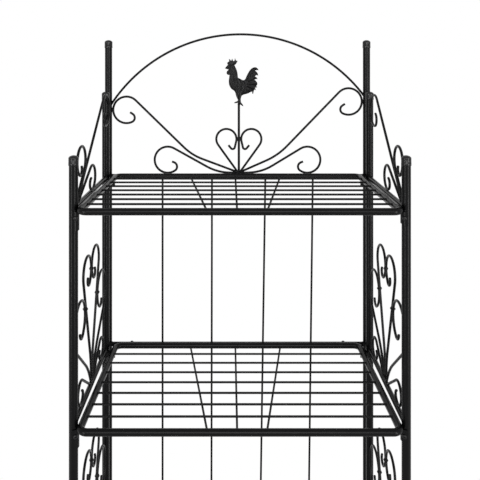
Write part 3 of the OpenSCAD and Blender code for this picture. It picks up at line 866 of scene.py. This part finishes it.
def panel_tacks(s, tack):
    """Weld tacks of the back scrolls on one side of the stem."""
    tack((s * (POST_X - POST_R), PANEL_Y, TOP + BIG_H[s]), UPWARD, SIDE_TACK)
    tack((STEM_X + s * SMALL_X[s], PANEL_Y, TOP + BAR_TOP + TOUCH), SIDEWAYS, SIDE_TACK)
    tack((STEM_X + s * STEM_R, PANEL_Y, TOP + HEART_H), UPWARD, HEART_TACK)


def tacks():
    """Short weld tacks where two wires, or a wire and a post, touch side by side."""
    spots = []

    def tack(point, axis, size):
        width, length = size
        spots.append(Spot(point, axis, TACK_SPIN * len(spots), (width, width, length)))

    for s in SIDES:
        for z in LEVELS[:3]:
            bay_tacks(s, z, tack)
        top_tacks(s, tack)
        panel_tacks(s, tack)
    tack((STEM_X, PANEL_Y, TOP + BAR_TOP + STEM_LIFT), SIDEWAYS, STEM_TACK)
    tack((STEM_X, PANEL_Y, STEM_TOP), UPWARD, TOE_TACK)
    stamp("tack_welds", tack_pattern(), "metal", spots)


def rooster_outline():
    """Loop of points round the rooster part, seen from the front, relative to its feet."""
    work = bmesh.new()
    work.from_mesh(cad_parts["rooster"].data)
    bmesh.ops.remove_doubles(work, verts=work.verts, dist=1e-6)
    front = {f for f in work.faces if f.normal.y < -0.9}
    rim = [e for e in work.edges if len(front.intersection(e.link_faces)) == 1]
    beside = {}
    for e in rim:
        a, b = e.verts
        beside.setdefault(a, []).append(b)
        beside.setdefault(b, []).append(a)
    start = rim[0].verts[0]
    loop, last, now = [start], None, start
    while True:
        step = next(v for v in beside[now] if v is not last)
        if step is start:
            break
        loop.append(step)
        last, now = now, step
    points = [(v.co.x / MM - STEM_X, v.co.z / MM - STEM_TOP) for v in loop]
    work.free()
    return np.array(points)


def edge_distance(points, loop):
    """Distance of each point from the nearest edge of a closed loop."""
    nearest = np.full(len(points), np.inf)
    for p, q in zip(loop, np.roll(loop, -1, axis=0)):
        along = q - p
        t = np.clip((points - p) @ along / max(along @ along, 1e-12), 0, 1)
        nearest = np.minimum(nearest, np.linalg.norm(points - p - t[:, None] * along, axis=1))
    return nearest


def filled(loop, spacing, margin):
    """Fills a closed loop with triangles; the inner points are evenly spaced and off its edge."""
    low = loop.min(0)
    high = loop.max(0)
    rows = np.arange(low[1], high[1], spacing * math.sqrt(3) / 2)
    grid = np.array([(x + (r % 2) * spacing / 2, z) for r, z in enumerate(rows)
                     for x in np.arange(low[0], high[0], spacing)])
    grid = grid[edge_distance(grid, loop) > margin]
    count = len(loop)
    edges = [(i, (i + 1) % count) for i in range(count)]
    flat = [Vector(p) for p in np.vstack([loop, grid])]
    inside_only = 1
    points, _, triangles, *_ = delaunay_2d_cdt(flat, edges, [list(range(count))], inside_only,
                                               1e-6)
    used = sorted({i for t in triangles for i in t})
    place = {old: new for new, old in enumerate(used)}
    return (np.array([tuple(points[i]) for i in used]),
            [tuple(place[i] for i in t) for t in triangles])


def hill(points, middle, half_width, half_length, tilt):
    """Smooth bump, 1 in the middle, long along tilt degrees from level."""
    turn = math.radians(tilt)
    x, z = (points - np.array(middle)).T
    along = (x * math.cos(turn) + z * math.sin(turn)) / half_length
    across = (z * math.cos(turn) - x * math.sin(turn)) / half_width
    return np.exp(-(along**2 + across**2))


def fade(values, none, full):
    """Share that grows evenly from 0 at none to 1 at full."""
    return np.clip((values - none) / (full - none), 0, 1)


def rooster_relief(points, rim):
    """Half thickness of the cast rooster at points; rim is how far each is from its edge."""
    x, z = points.T
    half = 1.0 + 1.5 * (1 - np.exp(-rim / 2.6))
    inside = fade(rim, 1.2, 3.2)

    # Breast, thigh and the raised wing
    half += 0.8 * hill(points, (-13, 52), half_width=5, half_length=15, tilt=100)
    half += 1.2 * hill(points, (1.5, 27), half_width=3, half_length=8, tilt=80)
    wing = hill(points, (7, 46), half_width=7.5, half_length=15, tilt=-18)
    half += 0.7 * np.clip(wing * 1.6 - 0.35, 0, 1)

    # Feathers as ridges: slanting on the body, spread out in the tail, upright on the neck
    body = fade(z, 64, 56) * fade(z, 26, 32) * fade(x, 24, 18)
    half += 0.5 * body * inside * np.sin((x * 0.92 + z * 0.4) * 0.92 - 0.6)
    tail = fade(x, 16, 22) * fade(rim, 0.3, 1.5)
    half += 0.5 * tail * np.sin(15 * np.arctan2(z - 46, x - 8))
    neck = fade(z, 60, 66) * fade(z, 86, 80)
    half += 0.45 * neck * inside * np.sin((x + 0.22 * z) * 1.25)

    # Eye and the groove round it
    eye = np.hypot(x + 19.6, z - 86.8)
    half += 0.8 * np.exp(-eye**2 / 1.1)
    half -= 0.35 * np.exp(-(eye - 2.1)**2 / 0.4)
    return np.minimum(half, 4.2)


def rooster():
    """Cast rooster figure that fills the outline of its part."""
    loop = rooster_outline()
    points, triangles = filled(loop, spacing=0.75, margin=0.4)
    half = rooster_relief(points, edge_distance(points, loop))
    front = [(STEM_X + x, PANEL_Y - h, STEM_TOP + z) for (x, z), h in zip(points, half)]
    back = [(STEM_X + x, PANEL_Y + h, STEM_TOP + z) for (x, z), h in zip(points, half)]
    total = len(points)
    faces = triangles + [tuple(i + total for i in reversed(t)) for t in triangles]

    # Walls from front to back stand on the edges that only one triangle has
    edges = [(a, b) for t in triangles for a, b in zip(t, t[1:] + t[:1])]
    known = set(edges)
    faces += [(b, a, a + total, b + total) for a, b in edges if (b, a) not in known]

    obj = mesh_object("rooster_casting", front + back, faces=faces)
    work = bmesh.new()
    work.from_mesh(obj.data)
    bmesh.ops.recalc_face_normals(work, faces=work.faces)
    work.to_mesh(obj.data)
    work.free()
    obj.data.shade_smooth()
    obj.data.set_sharp_from_angle(angle=math.radians(SHARP))
    keep(obj, "metal", "rooster")


def photo_camera():
    """Camera at the photograph's place: level, with the frame shifted down."""
    ahead_of_posts = 1053
    above_top_shelf = 262
    aside = -18.4
    data = bpy.data.cameras.new("photo_camera")
    data.sensor_width = 36
    data.lens = 45
    data.shift_x = 0.0221
    data.shift_y = -0.376
    cam = bpy.data.objects.new("photo_camera", data)
    bpy.context.scene.collection.objects.link(cam)
    cam.location = Vector((aside, FRONT_Y - ahead_of_posts, TOP + above_top_shelf)) * MM
    cam.rotation_euler = (math.radians(90), 0, 0)
    bpy.context.scene.camera = cam


def lamp(name, place, aim, width, height, power):
    """Soft rectangular studio lamp; its lengths are in metres and its power is in watts."""
    data = bpy.data.lights.new(name, "AREA")
    data.shape = "RECTANGLE"
    data.size = width
    data.size_y = height
    data.energy = power
    obj = bpy.data.objects.new(name, data)
    obj.location = place
    obj.rotation_euler = (Vector(aim) - Vector(place)).to_track_quat("-Z", "Y").to_euler()
    bpy.context.scene.collection.objects.link(obj)


def seen_share(tree, unseen, seen):
    """A value that is seen for camera, mirrored and refracted rays, and unseen for the others."""
    path = tree.nodes.new("ShaderNodeLightPath")
    share = path.outputs["Is Camera Ray"]
    for kind in ("Is Glossy Ray", "Is Transmission Ray"):
        either = tree.nodes.new("ShaderNodeMath")
        either.operation = "MAXIMUM"
        tree.links.new(share, either.inputs[0])
        tree.links.new(path.outputs[kind], either.inputs[1])
        share = either.outputs[0]
    spread = tree.nodes.new("ShaderNodeMapRange")
    spread.inputs["To Min"].default_value = unseen
    spread.inputs["To Max"].default_value = seen
    tree.links.new(share, spread.inputs["Value"])
    return spread.outputs["Result"]


def pale_floor():
    """Matt floor that takes the shadow near the stand and turns as white as the room away."""
    pale = bpy.data.materials.new("pale_floor")
    pale.use_nodes = True
    nodes, links = pale.node_tree.nodes, pale.node_tree.links
    matt = nodes["Principled BSDF"]
    matt.inputs["Base Color"].default_value = (0.92, 0.92, 0.92, 1)
    matt.inputs["Roughness"].default_value = 0.9
    matt.inputs["Specular IOR Level"].default_value = 0
    glow = nodes.new("ShaderNodeEmission")

    # Share of white by the distance from the stand's middle, in metres
    place = nodes.new("ShaderNodeTexCoord")
    away = nodes.new("ShaderNodeVectorMath")
    away.operation = "LENGTH"
    links.new(place.outputs["Object"], away.inputs[0])
    whiter = nodes.new("ShaderNodeMapRange")
    whiter.interpolation_type = "SMOOTHSTEP"
    whiter.inputs["From Min"].default_value = 0.3
    whiter.inputs["From Max"].default_value = 1
    whiter.inputs["To Min"].default_value = 0.6
    links.new(away.outputs["Value"], whiter.inputs["Value"])
    share = nodes.new("ShaderNodeMath")
    share.operation = "MULTIPLY"
    links.new(seen_share(pale.node_tree, 0, 1), share.inputs[0])
    links.new(whiter.outputs["Result"], share.inputs[1])

    blend = nodes.new("ShaderNodeMixShader")
    links.new(share.outputs[0], blend.inputs["Fac"])
    links.new(matt.outputs["BSDF"], blend.inputs[1])
    links.new(glow.outputs["Emission"], blend.inputs[2])
    links.new(blend.outputs["Shader"], nodes["Material Output"].inputs["Surface"])
    return pale


def studio():
    """White room, three soft lamps in front, and a pale floor that fades into the room."""
    world = bpy.data.worlds.new("studio")
    bpy.context.scene.world = world
    world.use_nodes = True
    room = world.node_tree.nodes["Background"]
    room.inputs["Color"].default_value = (1, 1, 1, 1)
    world.node_tree.links.new(seen_share(world.node_tree, 0.15, 1), room.inputs["Strength"])

    half = 6000
    corners = [(-half, -half, 0), (half, -half, 0), (half, half, 0), (-half, half, 0)]
    floor = mesh_object("floor", corners, faces=[(0, 1, 2, 3)])
    floor.data.materials.append(pale_floor())

    lamp("right_lamp", place=(1.8, -2.1, 0.95), aim=(0.1, 0, 0.95), width=0.35, height=1.9,
         power=44)
    lamp("left_lamp", place=(-1.8, -2.1, 0.95), aim=(-0.1, 0, 0.95), width=0.4, height=1.9,
         power=32)
    lamp("front_lamp", place=(0, -3.05, 2.2), aim=(0, 0, 1.15), width=2.2, height=1.5, power=54)


photo_camera()
studio()
bpy.context.scene.view_settings.view_transform = "Standard"

# Parts in a finish of their own, which the stamped pieces replace
OTHER_FINISH = ("post_caps", "feet", "shelf_screws", "panel_screws")
for name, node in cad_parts.items():
    if name not in OTHER_FINISH:
        dress(node, "metal")

for level in (1, 2, 3, 4):
    shelf_tube(level)
for side in SIDES:
    for bay in (1, 2, 3):
        side_scrolls(side, bay)
    top_scrolls(side)
for side in SIDES:
    back_scrolls(side)
arch()
caps_and_feet()
screws()
ring_beads()
tacks()
rooster()
